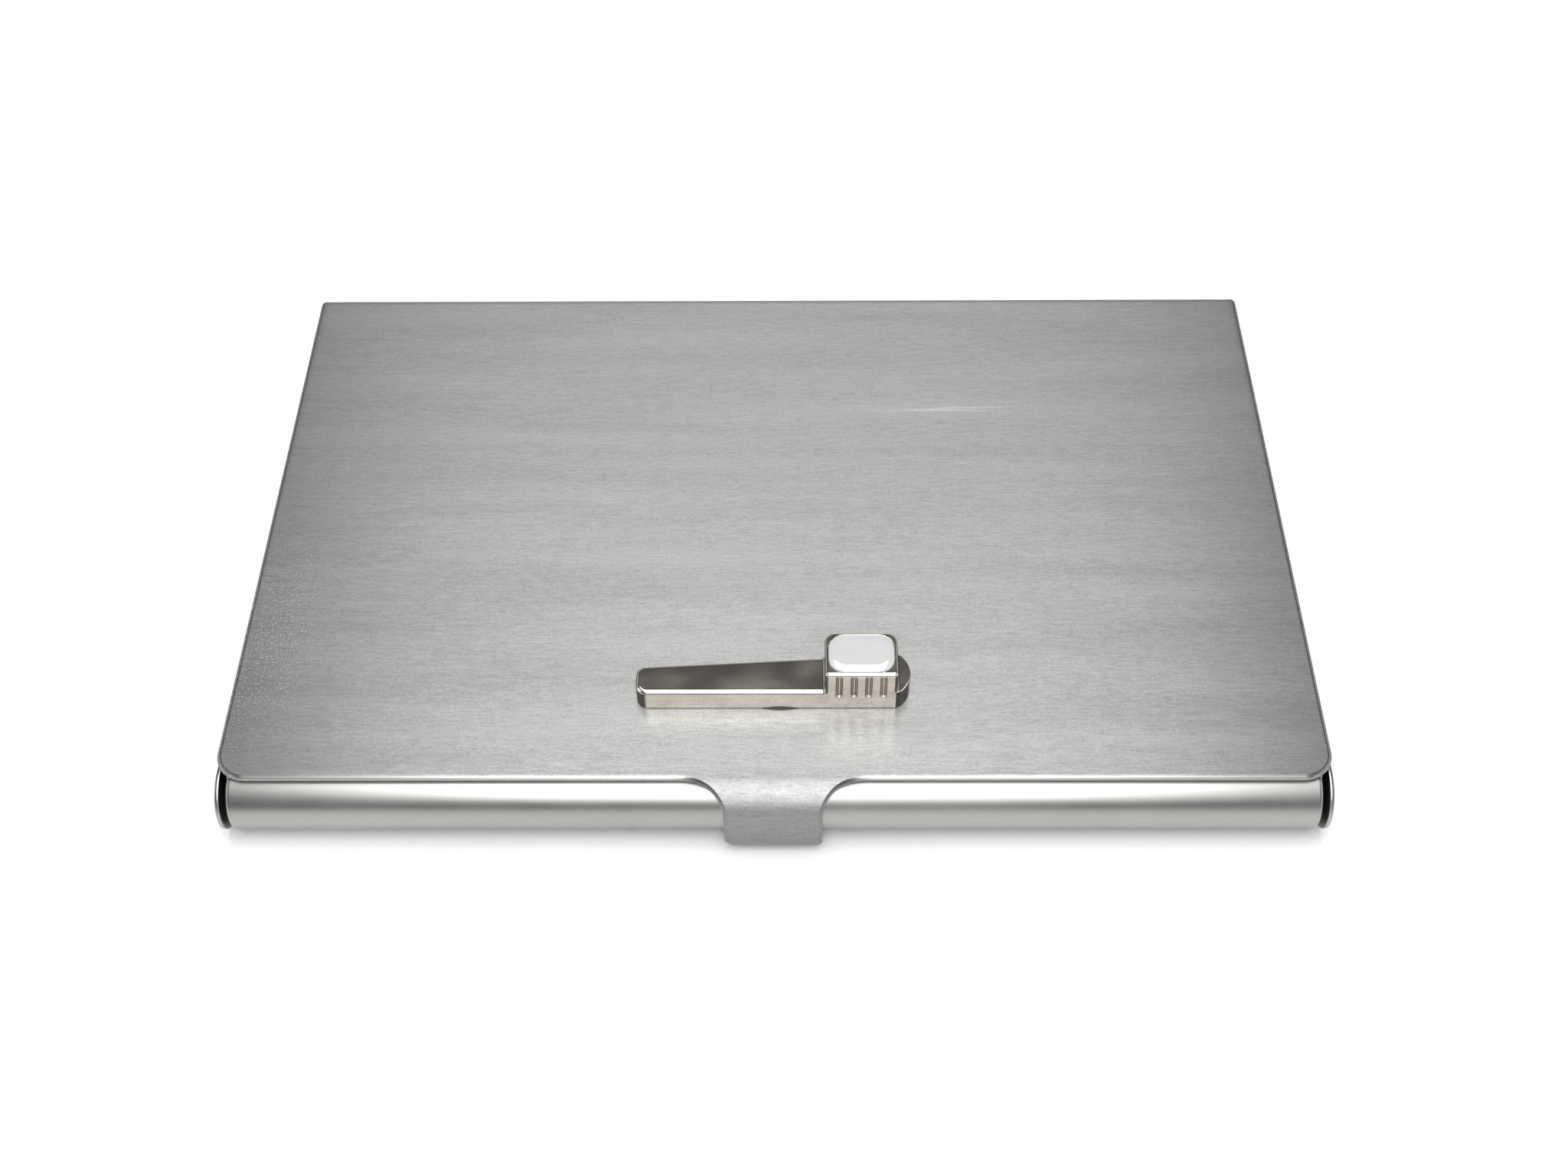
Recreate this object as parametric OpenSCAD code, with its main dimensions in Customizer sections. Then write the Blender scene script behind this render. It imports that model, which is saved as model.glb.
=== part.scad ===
// Hinged sheet-metal business card case with a cast toothbrush ornament on its lid.
// The origin is the centre of the underside. +X is right, +Y is to the hinge and +Z is up.
// The closed lid lies flat on top. It swings up about the two rivets at the back.

/* [Case] */
// Width across the side walls
case_w = 94; // [92:0.5:98]
// Depth of the lid's top, from its front edge to its back
lid_d = 59.2; // [58:0.1:61]
// Height of the closed case without the ornament
case_h = 7; // [7:0.1:7.4]
// Thickness of the tray's sheet
tray_t = 0.4; // [0.4:0.05:0.5]
// Thickness of the lid's sheet
lid_t = 0.5; // [0.5:0.05:0.6]
// Gap between the closed lid and the tray
lid_gap = 0.3; // [0.2:0.05:0.3]
// Outer radius of the bends along the tray's bottom edges
bend_r = 0.8; // [0.7:0.1:1]

/* [Front roll] */
// Distance from the lid's front edge back to the roll's axis
roll_back = 1.1; // [0.9:0.1:1.3]
// Gap between each end of the roll and the cheek beside it
cheek_gap = 0.3; // [0.3:0.05:0.6]
// Radius that turns the roll's ends inwards
roll_end_r = 0.5; // [0.5:0.1:1.1]
// Depth of the lip that runs back from the roll over the cards
roll_lip = 8; // [6:0.5:10]
// Width of the thumb notch in that lip
notch_w = 30; // [20:1:40]
// Depth of the thumb notch
notch_d = 4.5; // [2:0.5:5]

/* [Side lips] */
// Width of the lips that fold in from the side walls over the cards
side_lip_w = 3.5; // [2.5:0.5:5]
// Length of those lips
side_lip_l = 36; // [20:1:38]

/* [Lid] */
// Corner radius at the front of the lid
lid_front_r = 2.6; // [1.5:0.1:4]
// Corner radius at the back of the lid
lid_back_r = 0.8; // [0.4:0.1:1]
// Outer radius of the bend from the lid's top into its spine
spine_bend_r = 1; // [0.8:0.1:1]
// Height of the spine's lower edge above the ground
spine_z = 1.3; // [1.3:0.1:1.6]

/* [Tongue] */
// Width of the tongue
tongue_w = 8.3; // [6:0.1:12]
// Distance that the tongue stands in front of the lid's edge
tongue_reach = 2.8; // [2.8:0.1:3.3]
// Height of the tongue's tip above the ground
tongue_z = 0.7; // [0.4:0.1:1.5]
// Radius of the fillets that blend the tongue into the lid's edge, on the flat sheet
tongue_fillet = 3.8; // [2:0.1:4]
// Corner radius at the left of the tongue's tip
tip_left_r = 0.9; // [0.3:0.1:1.5]
// Corner radius at the right of the tongue's tip
tip_right_r = 0.4; // [0.3:0.1:1.5]

/* [Hinge] */
// Height of the hinge axis above the ground
pivot_z = 4.6; // [4.5:0.05:4.7]
// Distance from the hinge axis to the case's back face
pivot_in = 2.2; // [2.2:0.05:2.3]
// Radius of the hinge rivets' shanks
pin_r = 0.75; // [0.6:0.05:0.8]
// Radial clearance of the lid's ears on the shanks
pin_play = 0.05; // [0.02:0.01:0.08]
// Radius of the rivets' outer heads
head_r = 1.4; // [1.2:0.05:1.5]
// Distance that the outer heads stand out of the side walls
head_h = 0.35; // [0.25:0.05:0.45]

/* [Snap spring] */
// Length of the leaf spring across the tray
spring_l = 60; // [40:1:70]
// Width of the leaf spring
spring_w = 3.2; // [3:0.1:4]
// Thickness of the leaf spring
spring_t = 0.25; // [0.2:0.05:0.3]
// Height that the spring's arms bow up from the tray's floor
spring_bow = 0.6; // [0.3:0.1:0.7]
// Distance between the two rivets that hold the spring
spring_pitch = 12; // [8:1:16]

/* [Ornament] */
// Length of the toothbrush
brush_l = 23.5; // [20:0.5:26]
// Width of the toothbrush at its handle's end
handle_w = 2.9; // [2.4:0.1:3.4]
// Width of the toothbrush at its head
head_w = 4.3; // [4:0.1:5]
// Height of the handle above the lid
handle_h = 2.2; // [1.6:0.1:2.6]
// Height of the bristle block above the lid
block_h = 4.7; // [4:0.1:5.5]
// Width of the bristle block
block_w = 6.2; // [5.5:0.1:6.4]
// Distance of the toothbrush's front face behind the lid's front edge
brush_y = 7.1; // [5:0.1:30]
// Distance of the bristle block's centre to the right of the lid's centre
block_x = 7.5; // [7:0.1:8]
// Grooves between the tufts
grooves = 4; // [2:1:5]

/* [Hidden] */
$fn = 96;
eps = 0.01;

steel = [0.76, 0.75, 0.73];
satin_steel = [0.70, 0.70, 0.69];
spring_steel = [0.55, 0.56, 0.58];
plated = [0.42, 0.37, 0.32];
enamel = [0.93, 0.94, 0.95];
adhesive = [0.16, 0.15, 0.14];

// Case outline: the front edge of the lid, the back of the spine and the tray's top
back_y = (lid_d + tongue_reach) / 2;
front_y = back_y - lid_d;
lid_z = case_h - lid_t;
tray_h = lid_z - lid_gap;
wall_x = case_w / 2 - tray_t;

// Front roll: its axis, its ends, and the slots that part it from the side walls
roll_r = tray_h / 2;
roll_y = front_y + roll_back;
roll_x = wall_x - cheek_gap;
roll_end_in = 1.5;
slot_l = 0.6;
lip_y = roll_y + roll_lip;

// Hinge: the ears turn inside the side walls, and each wall ends in a round lug
pivot_y = back_y - pivot_in;
ear_gap = 0.2;
spine_x = wall_x - ear_gap;
ear_x = spine_x - lid_t;
ear_r = 1.75;
lug_r = 1.7;
wall_past_pivot = 0.35;
wall_end = pivot_y + wall_past_pivot;
clench_h = 0.3;
clench_r = pin_r + 0.5;
side_lip_to_pivot = 9;
side_lip_end = pivot_y - side_lip_to_pivot;

// Snap spring, ahead of the path of the spine's lower edge
spring_to_pivot = 4.4;
spring_y = pivot_y - spring_to_pivot - spring_w;
spring_flat = spring_pitch / 2 + 3;
spring_tip = 3;
rivet_r = 0.6;
rivet_play = 0.02;
rivet_head_r = 1.1;
rivet_head_h = 0.35;

// Ornament
pad_t = 0.1;
bead_x = 0.6;
bead_out = 0.18;
brush_front = front_y + brush_y;
brush_x = brush_l / 2;
head_end_r = 2.6;
handle_corner = 0.8;
handle_front_corner = 1;
block_corner = 0.9;
block_front_corner = 0.35;
block_past = 0.3;
block_d = head_w + block_past;
groove_pitch = 1.25;
groove_r = 0.24;
groove_low = 1.6;
groove_top = 0.3;
enamel_margin = 0.3;
enamel_depth = 0.3;
enamel_corner = 1.5;
dome_r = 14;
dome_h = 0.22;

// A flat profile drawn in Y and Z, drawn out to a width along X
module along_x(width) {
    rotate([90, 0, 90]) linear_extrude(width, center = true) children();
}

// A flat profile drawn in X and Z, drawn out along Y from one place to another
module along_y(from, to) {
    translate([0, to, 0]) rotate([90, 0, 0]) linear_extrude(to - from) children();
}

// A rectangle with round corners, centred
module round_rect(w, h, r) {
    square([w - 2 * r, h], center = true);
    square([w, h - 2 * r], center = true);
    for (sx = [-1, 1], sy = [-1, 1]) {
        translate([sx * (w / 2 - r), sy * (h / 2 - r)]) circle(r);
    }
}

// A quarter of a bent sheet's cross-section, in the corner between +X and +Y
module bend_section(outer, thick) {
    difference() {
        intersection() {
            circle(outer);
            square(outer + eps);
        }
        circle(outer - thick);
    }
}

// The tray's cross-section from one side wall to the other, open at the top
module trough_section() {
    difference() {
        translate([0, tray_h]) round_rect(case_w, 2 * tray_h, bend_r);
        translate([0, tray_h]) round_rect(2 * wall_x, 2 * (tray_h - tray_t), bend_r - tray_t);
        translate([-case_w, tray_h]) square([2 * case_w, 2 * tray_h]);
    }
}

// The same cross-section with a lip folded in from the top of each wall
module lipped_section() {
    gap_w = 2 * (case_w / 2 - side_lip_w);
    difference() {
        translate([0, tray_h / 2]) round_rect(case_w, tray_h, bend_r);
        translate([0, tray_h / 2]) {
            round_rect(2 * wall_x, tray_h - 2 * tray_t, bend_r - tray_t);
        }
        translate([-gap_w / 2, tray_h / 2]) square([gap_w, tray_h]);
    }
}

// The side walls' outline, with the lugs that carry the hinge rivets
module wall_outline() {
    intersection() {
        union() {
            translate([roll_y, 0]) square([wall_end - roll_y, tray_h]);
            translate([pivot_y, pivot_z]) circle(lug_r);
        }
        translate([roll_y, 0]) square([lid_d + tongue_reach, tray_h]);
    }
}

// The floor and side walls, as one bent sheet
module trough() {
    lip_start = side_lip_end - side_lip_l;
    intersection() {
        union() {
            along_y(roll_y, lip_start) trough_section();
            along_y(lip_start, side_lip_end) lipped_section();
            along_y(side_lip_end, back_y) trough_section();
        }
        along_x(case_w + 2) wall_outline();
    }
}

// The round front end of one side wall
module cheek(side) {
    translate([side * (case_w - tray_t) / 2, 0, 0]) along_x(tray_t) {
        intersection() {
            translate([roll_y, roll_r]) circle(roll_r);
            translate([roll_y - roll_r, 0]) square([roll_r + eps, tray_h]);
        }
    }
}

// The front roll's sheet, drawn as radius and place along its axis
module roll_section() {
    outer_l = 2 * roll_x;
    inner_l = outer_l - 2 * tray_t;
    difference() {
        round_rect(2 * roll_r, outer_l, roll_end_r);
        round_rect(2 * (roll_r - tray_t), inner_l, roll_end_r - tray_t);
        translate([-2 * roll_r, -case_w]) {
            square([3 * roll_r - roll_end_in, 2 * case_w]);
        }
    }
}

// The front roll, from the floor round the front to the top lip
module roll() {
    translate([0, roll_y, roll_r]) rotate([0, 90, 0]) rotate([0, 0, 180]) {
        rotate_extrude(angle = 180) roll_section();
    }
}

// The lip behind the roll, with its thumb notch
module top_lip() {
    notch_r = (pow(notch_w / 2, 2) + pow(notch_d, 2)) / (2 * notch_d);
    translate([0, 0, tray_h - tray_t]) linear_extrude(tray_t) difference() {
        translate([0, (lip_y + roll_y) / 2]) {
            square([2 * (roll_x - roll_end_r), roll_lip], center = true);
        }
        translate([0, lip_y - notch_d + notch_r]) circle(notch_r);
    }
}

// The floor's back edge, turned up under the spine
module back_sill() {
    along_x(2 * spine_x) {
        translate([wall_end - 1, 0]) square([back_y - bend_r - wall_end + 1, tray_t]);
        translate([back_y - bend_r, bend_r]) mirror([0, 1]) bend_section(bend_r, tray_t);
    }
}

// The slot that parts the roll's end from the bend below a side wall
module roll_slot(side) {
    translate([side * (wall_x - cheek_gap / 2), roll_y + slot_l / 2, 0]) {
        cube([cheek_gap, slot_l, 2 * bend_r], center = true);
    }
}

// Places what is drawn round the Z axis on the hinge axis, to point outwards on one side
module on_hinge(side) {
    translate([0, pivot_y, pivot_z]) rotate([0, side * 90, 0]) children();
}

// Places what is drawn at the origin at each of the spring's two rivets
module at_spring_rivets() {
    for (side = [-1, 1]) {
        translate([side * spring_pitch / 2, spring_y + spring_w / 2, 0]) children();
    }
}

module base_tray() {
    color(satin_steel) difference() {
        union() {
            trough();
            for (side = [-1, 1]) cheek(side);
            roll();
            top_lip();
            back_sill();
        }
        for (side = [-1, 1]) roll_slot(side);
        for (side = [-1, 1]) on_hinge(side) {
            translate([0, 0, wall_x - 1]) cylinder(r = pin_r + rivet_play, h = tray_t + 2);
        }
        at_spring_rivets() {
            translate([0, 0, -1]) cylinder(r = rivet_r + rivet_play, h = tray_t + 2);
        }
    }
}

// A list of points in the other order
function reversed(line) = [for (i = [len(line) - 1 : -1 : 0]) line[i]];

// The leaf spring: flat in the middle, with an arm that bows up to each side
module snap_spring() {
    arm = [
        [spring_flat, 0],
        [spring_l / 2 - spring_tip, spring_bow],
        [spring_l / 2, spring_bow - spring_t]
    ];
    lower = concat(reversed([for (p = arm) [-p[0], p[1]]]), arm);
    upper = reversed([for (p = lower) [p[0], p[1] + spring_t]]);
    color(spring_steel) difference() {
        translate([0, 0, tray_t]) {
            along_y(spring_y, spring_y + spring_w) polygon(concat(lower, upper));
        }
        at_spring_rivets() cylinder(r = rivet_r + rivet_play, h = tray_t + 2);
    }
}

// A low domed rivet head on the plane through the origin
module dome_head(r, h) {
    ball = (r * r + h * h) / (2 * h);
    intersection() {
        translate([0, 0, h - ball]) sphere(ball);
        cylinder(r = r + 1, h = h + 1);
    }
}

module spring_rivets() {
    top = tray_t + spring_t;
    color(spring_steel) at_spring_rivets() {
        cylinder(r = rivet_r, h = top + eps);
        translate([0, 0, top]) dome_head(rivet_head_r, rivet_head_h);
    }
}

// One hinge rivet: an outer head, a shank through wall and ear, and a clenched inner head
module hinge_rivet(side) {
    inner = ear_x - pin_play - clench_h;
    color(satin_steel) on_hinge(side) {
        translate([0, 0, inner]) cylinder(r = clench_r, h = clench_h);
        translate([0, 0, inner]) cylinder(r = pin_r, h = case_w / 2 - inner + eps);
        translate([0, 0, case_w / 2]) dome_head(head_r, head_h);
    }
}

module hinge_rivet_left() {
    hinge_rivet(-1);
}

module hinge_rivet_right() {
    hinge_rivet(1);
}

// What a round corner takes off a flat shape, for the corner that points to (sx, sy)
module corner_cut(x, y, sx, sy, r) {
    translate([x - sx * r, y - sy * r]) difference() {
        translate([sx * r, sy * r]) square(2 * r, center = true);
        circle(r);
    }
}

// The outline of the lid's top, without the tongue
module lid_outline() {
    difference() {
        translate([-case_w / 2, front_y]) square([case_w, lid_d]);
        for (side = [-1, 1]) {
            corner_cut(side * case_w / 2, front_y, side, -1, lid_front_r);
            corner_cut(side * case_w / 2, back_y, side, 1, lid_back_r);
        }
    }
}

// The lid's flat top, as far back as its bend
module lid_top() {
    translate([0, 0, lid_z]) linear_extrude(lid_t) intersection() {
        lid_outline();
        translate([-case_w, front_y]) square([2 * case_w, lid_d - spine_bend_r]);
    }
}

// Half the tongue's width at a distance along the bent sheet from the lid's front edge
function tongue_half(s) =
    tongue_w / 2 + tongue_fillet - sqrt(pow(tongue_fillet, 2) - pow(tongue_fillet - s, 2));

// The same distance as a place along Y, on the bend's outer face
function tongue_y(s) = front_y - tongue_reach * sin(s / tongue_reach * 180 / PI);

// The tongue seen from above, with fillets that narrow to its width
module tongue_plan() {
    steps = 16;
    far_y = front_y - tongue_reach - 1;
    along = [for (i = [0 : steps]) tongue_fillet * i / steps];
    right = concat([for (s = along) [tongue_half(s), tongue_y(s)]], [[tongue_w / 2, far_y]]);
    polygon(concat(right, reversed([for (p = right) [-p[0], p[1]]])));
}

// The tongue seen from the front, with a round corner at each side of its tip
module tongue_face() {
    difference() {
        translate([-case_w / 4, tongue_z]) square([case_w / 2, case_h]);
        corner_cut(-tongue_w / 2, tongue_z, -1, -1, tip_left_r);
        corner_cut(tongue_w / 2, tongue_z, 1, -1, tip_right_r);
    }
}

// The tongue, bent down over the roll from the lid's front edge
module tongue() {
    bend_z = case_h - tongue_reach;
    intersection() {
        along_x(case_w / 2) {
            translate([front_y, bend_z]) mirror([1, 0]) bend_section(tongue_reach, lid_t);
            translate([front_y - tongue_reach, 0]) square([lid_t, bend_z]);
        }
        linear_extrude(case_h + 1) tongue_plan();
        along_y(front_y - tongue_reach - 1, front_y + 1) tongue_face();
    }
}

// The bend along the lid's back edge
module spine_bend() {
    intersection() {
        along_x(case_w) {
            translate([back_y - spine_bend_r, case_h - spine_bend_r]) {
                bend_section(spine_bend_r, lid_t);
            }
        }
        linear_extrude(case_h + 1) lid_outline();
    }
}

// The spine, and the ears turned forwards from its ends, seen from above
module spine_plan() {
    ear_l = pivot_in + ear_r;
    translate([0, back_y - ear_l]) difference() {
        round_rect(2 * spine_x, 2 * ear_l, bend_r);
        round_rect(2 * ear_x, 2 * (ear_l - lid_t), bend_r - lid_t);
        translate([-case_w, -2 * ear_l]) square([2 * case_w, 2 * ear_l]);
    }
}

// The spine and the ears seen from the side
module spine_side() {
    top = case_h - spine_bend_r;
    ear_low = pivot_z - ear_r;
    translate([back_y - lid_t, spine_z]) square([lid_t, top - spine_z]);
    translate([pivot_y, ear_low]) square([pivot_in, top - ear_low]);
    translate([pivot_y, pivot_z]) circle(ear_r);
}

module spine() {
    intersection() {
        linear_extrude(case_h) spine_plan();
        along_x(case_w) spine_side();
    }
}

module lid_panel() {
    bore_l = lid_t + 1;
    color(steel) difference() {
        union() {
            lid_top();
            tongue();
            spine_bend();
            spine();
        }
        for (side = [-1, 1]) on_hinge(side) {
            translate([0, 0, ear_x - bore_l / 4]) cylinder(r = pin_r + pin_play, h = bore_l);
        }
    }
}

// The film of adhesive under the toothbrush, with a bead pressed out at the front
module adhesive_pad() {
    film_l = 18;
    film_w = 2;
    bead_r = 7;
    bead_w = 3.2;
    color(adhesive) translate([0, 0, case_h]) linear_extrude(pad_t) {
        translate([0, brush_front + handle_w / 2]) round_rect(film_l, film_w, film_w / 3);
        translate([bead_x, brush_front]) intersection() {
            translate([0, bead_r - bead_out]) circle(bead_r);
            translate([-bead_w / 2, -2 * bead_out]) square([bead_w, handle_w / 2]);
        }
    }
}

// The toothbrush from above: a handle that widens to a round-ended head
module brush_plan() {
    intersection() {
        polygon([
            [-brush_x, brush_front],
            [brush_x, brush_front],
            [brush_x, brush_front + head_w],
            [-brush_x, brush_front + handle_w]
        ]);
        union() {
            translate([-brush_x, brush_front]) square([2 * brush_x - head_end_r, head_w]);
            translate([brush_x - head_end_r, brush_front + head_w / 2]) circle(head_end_r);
        }
    }
}

// The bristle block's outline, drawn smaller by a margin all round
module block_plan(margin, front_corner, back_corner) {
    x = block_w / 2 - margin;
    y = block_d / 2 - margin;
    translate([block_x, brush_front + block_d / 2]) difference() {
        square([2 * x, 2 * y], center = true);
        for (side = [-1, 1]) {
            corner_cut(side * x, y, side, 1, back_corner);
            corner_cut(side * x, -y, side, -1, front_corner);
        }
    }
}

// A round-bottomed groove down the front of the bristle block
module tuft_groove() {
    low = case_h + groove_low + groove_r;
    translate([0, brush_front, low]) {
        sphere(groove_r);
        cylinder(r = groove_r, h = block_h - groove_top - groove_low - groove_r);
    }
}

module brush_casting() {
    foot = case_h + pad_t;
    color(plated) difference() {
        union() {
            translate([0, 0, foot]) linear_extrude(handle_h - pad_t) difference() {
                brush_plan();
                corner_cut(-brush_x, brush_front + handle_w, -1, 1, handle_corner);
                corner_cut(-brush_x, brush_front, -1, -1, handle_front_corner);
            }
            translate([0, 0, foot]) {
                linear_extrude(block_h - pad_t) block_plan(0, block_front_corner, block_corner);
            }
        }
        for (i = [0 : grooves - 1]) {
            translate([block_x + (i - (grooves - 1) / 2) * groove_pitch, 0, 0]) tuft_groove();
        }
        translate([0, 0, case_h + block_h - enamel_depth]) {
            linear_extrude(enamel_depth + 1) {
                block_plan(enamel_margin, enamel_corner, enamel_corner);
            }
        }
    }
}

// The enamel that fills the recess on the block and stands up as a low dome
module bristle_enamel() {
    top = case_h + block_h;
    color(enamel) intersection() {
        translate([0, 0, top - enamel_depth]) {
            linear_extrude(enamel_depth + 1) {
                block_plan(enamel_margin, enamel_corner, enamel_corner);
            }
        }
        translate([block_x, brush_front + block_d / 2, top + dome_h - dome_r]) {
            sphere(dome_r, $fn = 4 * $fn);
        }
    }
}

base_tray();
snap_spring();
spring_rivets();
hinge_rivet_left();
hinge_rivet_right();
lid_panel();
adhesive_pad();
brush_casting();
bristle_enamel();
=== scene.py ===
"""The looks of a hinged steel business card case with a cast toothbrush on its lid.

The CAD model gives every size and place. Lengths below are in millimetres, and each mesh is
scaled to metres when it is made. The two folded sheets are drawn flat, with round corners and
soft edges, and then folded by a function that takes each point of the flat sheet to its place.
"""

import math

import bmesh
import bpy
import numpy as np
from mathutils import Matrix, Vector
from mathutils.geometry import delaunay_2d_cdt


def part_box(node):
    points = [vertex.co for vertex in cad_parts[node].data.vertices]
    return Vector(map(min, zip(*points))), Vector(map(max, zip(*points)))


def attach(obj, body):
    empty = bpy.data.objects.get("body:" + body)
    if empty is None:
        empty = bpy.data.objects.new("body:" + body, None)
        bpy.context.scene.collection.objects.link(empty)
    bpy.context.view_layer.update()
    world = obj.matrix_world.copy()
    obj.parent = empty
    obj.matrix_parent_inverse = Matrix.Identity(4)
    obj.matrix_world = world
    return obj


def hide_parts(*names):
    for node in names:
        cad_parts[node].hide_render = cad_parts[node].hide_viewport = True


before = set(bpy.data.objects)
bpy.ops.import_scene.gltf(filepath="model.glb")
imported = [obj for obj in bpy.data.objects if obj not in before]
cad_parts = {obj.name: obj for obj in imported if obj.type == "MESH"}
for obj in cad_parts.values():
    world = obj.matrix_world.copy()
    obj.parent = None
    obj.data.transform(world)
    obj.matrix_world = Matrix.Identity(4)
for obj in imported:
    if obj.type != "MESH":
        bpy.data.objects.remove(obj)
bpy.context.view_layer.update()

MM = 0.001
QUARTER = math.pi / 2

# ---------------------------------------------------------------------------------------------
# Sizes: the CAD model's own boxes, and the sheets' thicknesses, edges and bends
# ---------------------------------------------------------------------------------------------


def corners_of(node):
    """A CAD node's lowest and highest corners, in millimetres."""
    low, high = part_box(node)
    return np.array(low) / MM, np.array(high) / MM


lid_low, lid_high = corners_of("lid_panel")
tray_low, tray_high = corners_of("base_tray")
brush_low, brush_high = corners_of("brush_casting")
enamel_low, enamel_high = corners_of("bristle_enamel")
pad_low, pad_high = corners_of("adhesive_pad")
spring_low, spring_high = corners_of("snap_spring")
stud_low, stud_high = corners_of("spring_rivets")
pin_low, pin_high = corners_of("hinge_rivet_right")

HALF_W = tray_high[0]
BACK = lid_high[1]
TOP = lid_high[2]
TONGUE_FACE = lid_low[1]
TONGUE_TIP = lid_low[2]
PIVOT = [pin_low[1] / 2 + pin_high[1] / 2, pin_low[2] / 2 + pin_high[2] / 2]

LID_T = 0.5
LID_EDGE = 0.3
TRAY_T = 0.4
TRAY_EDGE = 0.17
HOLE_EDGE = 0.06
BEND = 0.8
ARC_STEP = 0.35  # longest step round a corner of an outline
SKIRT = 0.15  # from a bend to the next line on the flat sheet
HINGE_HOLE_R = 0.8
HINGE_BORE_R = 0.77
STUD_HOLE_R = 0.62
STUD_R = 1.1
STUD_X = stud_high[0] - STUD_R

TONGUE_BEND = 2.8
TONGUE_HALF = 4.15
TONGUE_FILLET = 3.8
LID_FRONT = TONGUE_FACE + TONGUE_BEND
SPINE_BEND = 1.0
SPINE_HALF = HALF_W - TRAY_T - 0.2
SPINE_FOOT = 1.3

TRAY_TOP = tray_high[2]
ROLL_R = TRAY_TOP / 2
ROLL_Y = tray_low[1] + ROLL_R
ROLL_HALF = HALF_W - TRAY_T - 0.3

# ---------------------------------------------------------------------------------------------
# Mesh tools
# ---------------------------------------------------------------------------------------------


def add_piece(name, verts, faces, material, body, replaced, normals=None):
    """Makes a smooth piece from points in millimetres, and fastens it to its CAD body."""
    mesh = bpy.data.meshes.new(name)
    mesh.from_pydata((np.asarray(verts, float) * MM).tolist(), [], faces)
    if normals is None:
        work = bmesh.new()
        work.from_mesh(mesh)
        bmesh.ops.remove_doubles(work, verts=work.verts, dist=1e-8)
        bmesh.ops.recalc_face_normals(work, faces=work.faces)
        work.to_mesh(mesh)
        work.free()
    mesh.shade_smooth()
    if normals is not None:
        mesh.normals_split_custom_set_from_vertices(normals.tolist())
    mesh.materials.append(material)
    piece = bpy.data.objects.new(name, mesh)
    bpy.context.scene.collection.objects.link(piece)
    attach(piece, body)
    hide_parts(*replaced)
    return piece


def round_loop(corners, inset, splits=None):
    """The points of a closed outline of (u, v, radius) corners, anticlockwise and drawn in by inset.

    A corner with no radius stays one point. splits says where each straight side is cut.
    Returns the points, and the ends of each straight side.
    """
    place = np.array([c[:2] for c in corners], float)
    along = np.roll(place, -1, axis=0) - place
    along /= np.linalg.norm(along, axis=1)[:, None]
    inward = np.stack([-along[:, 1], along[:, 0]], axis=1)
    arcs = []
    for i, (_, _, radius) in enumerate(corners):
        e0, e1, n0, n1 = along[i - 1], along[i], inward[i - 1], inward[i]
        corner = place[i] + inset * (n0 + n1) / (1 + n0 @ n1)
        turn = math.atan2(e0[0] * e1[1] - e0[1] * e1[0], e0 @ e1)
        if radius == 0:
            arcs.append([corner])
            continue
        side = math.copysign(1, turn)
        r = max(radius - inset * side, 0.01)
        steps = max(3, math.ceil(radius * abs(turn) / ARC_STEP))
        centre = corner - e0 * r * math.tan(abs(turn) / 2) + n0 * side * r
        spoke = -n0 * side * r
        angles = [turn * k / steps for k in range(steps + 1)]
        arcs.append([centre + np.array([[math.cos(a), -math.sin(a)], [math.sin(a), math.cos(a)]]) @ spoke
                     for a in angles])
    sides = [(arcs[i][-1], arcs[(i + 1) % len(arcs)][0]) for i in range(len(arcs))]
    points = []
    for i, arc in enumerate(arcs):
        points += arc
        if splits:
            start, end = sides[i]
            points += [start + (end - start) * t for t in splits[i]]
    return np.array(points), sides


def side_splits(sides, u_lines, v_lines):
    """Where each straight side crosses the lines that the sheet bends along."""
    splits = []
    for start, end in sides:
        cuts = set()
        for axis, lines in ((0, u_lines), (1, v_lines)):
            run = end[axis] - start[axis]
            if abs(run) > 1e-6:
                shares = [round((line - start[axis]) / run, 4) for line in lines]
                cuts |= {t for t in shares if 0.01 < t < 0.99}
        splits.append(sorted(cuts))
    return splits


def ring(u, v, r, steps=40):
    """A round hole's points, clockwise."""
    turn = [2 * math.pi * k / steps for k in range(steps)]
    return np.array([(u + r * math.cos(a), v - r * math.sin(a)) for a in turn])


def crossings(points, loop):
    """How often a ray to the right of each point crosses the loop, and the distance to the loop."""
    a, b = loop, np.roll(loop, -1, axis=0)
    p = points[:, None, :]
    over = (a[:, 1] > p[..., 1]) != (b[:, 1] > p[..., 1])
    rise = np.where(a[:, 1] == b[:, 1], 1, b[:, 1] - a[:, 1])
    hit = a[:, 0] + (p[..., 1] - a[:, 1]) * (b[:, 0] - a[:, 0]) / rise
    count = (over & (p[..., 0] < hit)).sum(axis=1)
    edge = b - a
    t = np.clip(((p - a) * edge).sum(-1) / np.maximum((edge ** 2).sum(-1), 1e-12), 0, 1)
    gap = np.linalg.norm(p - a - t[..., None] * edge, axis=-1).min(axis=1)
    return count, gap


def rim_steps(edge, thick):
    """How far in and how deep each ring of a sheet's edge lies, from the outer face to the inner.

    The outer corner is a soft bevel and the inner one is nearly sharp.
    """
    outer = [(1.3, 0), (1, 0), (0.85, 0.05), (0.45, 0.28), (0.1, 0.52), (0, 0.72)]
    inner = [(0, 0.3), (0.09, 0.09), (0.3, 0), (1.3, 0)]
    return [(edge * a, edge * b) for a, b in outer] + [(edge * a, thick - edge * b) for a, b in inner]


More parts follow.
